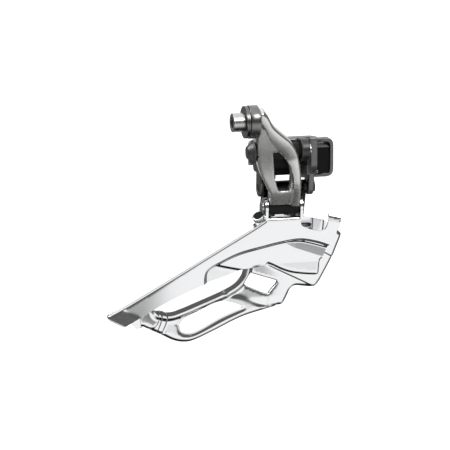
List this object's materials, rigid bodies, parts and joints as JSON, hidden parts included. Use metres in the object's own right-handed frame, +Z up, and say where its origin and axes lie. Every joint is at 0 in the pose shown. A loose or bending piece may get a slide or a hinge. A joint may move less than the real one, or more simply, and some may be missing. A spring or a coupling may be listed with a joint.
{
  "type": "front derailleur",
  "caption": "Sprung parallelogram front derailleur with a bright plated chain cage, a tall cable arm and a direct-mount saddle.",
  "frame": {"origin": "centre of the saddle face that lies against the frame's hanger, on the fixing bolt's axis", "axes": "+X towards the front of the bicycle, +Y inboard towards the seat tube and along the saddle's outward normal, +Z up"},
  "size_m": [0.1113, 0.0551, 0.1102],
  "materials": {
    "satin_grey_metal": "satin dark grey paint on cast aluminium",
    "satin_link_metal": "satin grey metallic paint",
    "bright_plate": "bright plated sheet steel",
    "nickel_steel": "nickel plated",
    "black_steel": "black finish on steel",
    "black_resin": "moulded black bearing resin"
  },
  "bodies": {
    "bracket": {"bracket_body": "satin_grey_metal", "radius_washer": "nickel_steel", "outer_link_pin": "nickel_steel", "inner_link_pin": "black_steel", "inner_link_pin_clip": "black_steel", "return_spring": "black_steel"},
    "fixing_bolt": {"fixing_bolt": "nickel_steel"},
    "low_limit_screw": {"low_limit_screw": "nickel_steel"},
    "high_limit_screw": {"high_limit_screw": "nickel_steel"},
    "outer_link": {"outer_link": "satin_link_metal", "outer_link_bush_rear": "black_resin", "outer_link_bush_front": "black_resin", "cable_washer": "nickel_steel"},
    "anchor_bolt": {"cable_anchor_bolt": "nickel_steel"},
    "inner_link": {"inner_link": "black_steel"},
    "cage": {"cage_outer_plate": "bright_plate", "cage_inner_plate": "bright_plate", "cage_outer_pin": "nickel_steel", "cage_outer_pin_clip": "black_steel", "cage_inner_pin": "nickel_steel", "cage_inner_pin_clip": "black_steel", "bridge_rivet_rear": "bright_plate", "bridge_rivet_front": "bright_plate", "tail_rivet": "bright_plate", "bridge_plug": "black_resin"}
  },
  "joints": [
    {"name": "outer_link_swing", "type": "hinge", "parent": "bracket", "child": "outer_link", "pos_m": [-0.025, -0.031, 0.009], "axis": [-1, 0, 0], "range_deg": [0, 38], "stiffness_Nm_per_rad": 0.9, "springref_deg": -28.65},
    {"name": "cage_swing", "type": "hinge", "parent": "outer_link", "child": "cage", "pos_m": [-0.02, -0.02125, -0.0178], "axis": [-1, 0, 0], "range_deg": [-38, 0]},
    {"name": "inner_link_swing", "type": "hinge", "parent": "bracket", "child": "inner_link", "pos_m": [-0.017, -0.0125, -0.011], "axis": [-1, 0, 0], "range_deg": [0, 38], "deforming": ["return_spring"]},
    {"name": "low_limit_turn", "type": "hinge", "parent": "bracket", "child": "low_limit_screw", "pos_m": [-0.0245, -0.0206, 0.005], "axis": [0, 0, 1], "range_deg": [-720, 720]},
    {"name": "high_limit_turn", "type": "hinge", "parent": "bracket", "child": "high_limit_screw", "pos_m": [-0.0245, -0.015, 0.005], "axis": [0, 0, 1], "range_deg": [-720, 720]},
    {"name": "anchor_bolt_turn", "type": "hinge", "parent": "outer_link", "child": "anchor_bolt", "pos_m": [-0.044, -0.03634, 0.02366], "axis": [-1, 0, 0], "range_deg": [0, 720]},
    {"name": "fixing_bolt_turn", "type": "hinge", "parent": "bracket", "child": "fixing_bolt", "pos_m": [0, 0.009, 0], "axis": [0, 1, 0], "range_deg": [0, 1080]}
  ],
  "couplings": [
    {"joint": "cage_swing", "follows": "outer_link_swing", "ratio": -1},
    {"joint": "inner_link_swing", "follows": "outer_link_swing", "ratio": 1}
  ]
}
